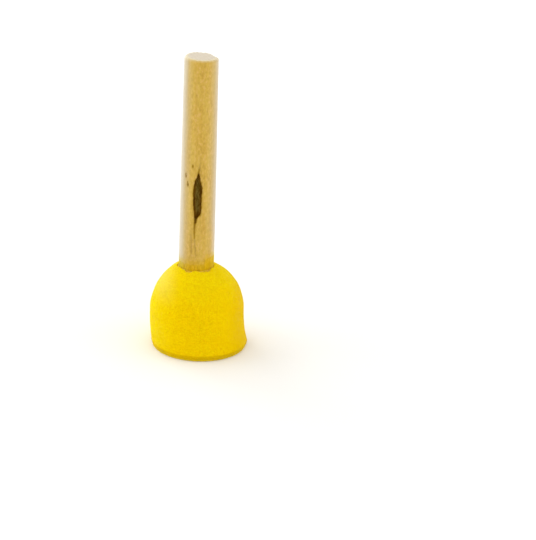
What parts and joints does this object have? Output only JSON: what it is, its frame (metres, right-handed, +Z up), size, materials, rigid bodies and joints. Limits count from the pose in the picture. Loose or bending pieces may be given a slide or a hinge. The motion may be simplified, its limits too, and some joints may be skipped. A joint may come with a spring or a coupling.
{
  "type": "foam sponge brush",
  "caption": "Stipple brush: a domed yellow foam head with a flat round working face, glued onto the end of a straight round wooden handle.",
  "frame": {"origin": "centre of the flat working face that the brush stands on", "axes": "+Z up along the handle, from the working face to the handle's free end"},
  "size_m": [0.032, 0.032, 0.1],
  "materials": {
    "foam": "matte",
    "glue": "satin",
    "wood": "matte"
  },
  "bodies": {
    "head": {"foam_head": "foam"},
    "handle": {"wooden_handle": "wood", "glue_layer": "glue"}
  },
  "joints": [
    {"name": "foam_press", "type": "slide", "parent": "head", "child": "handle", "axis": [0, 0, -1], "range_m": [0, 0.005], "stiffness_N_per_m": 700, "deforming": ["foam_head"]}
  ]
}
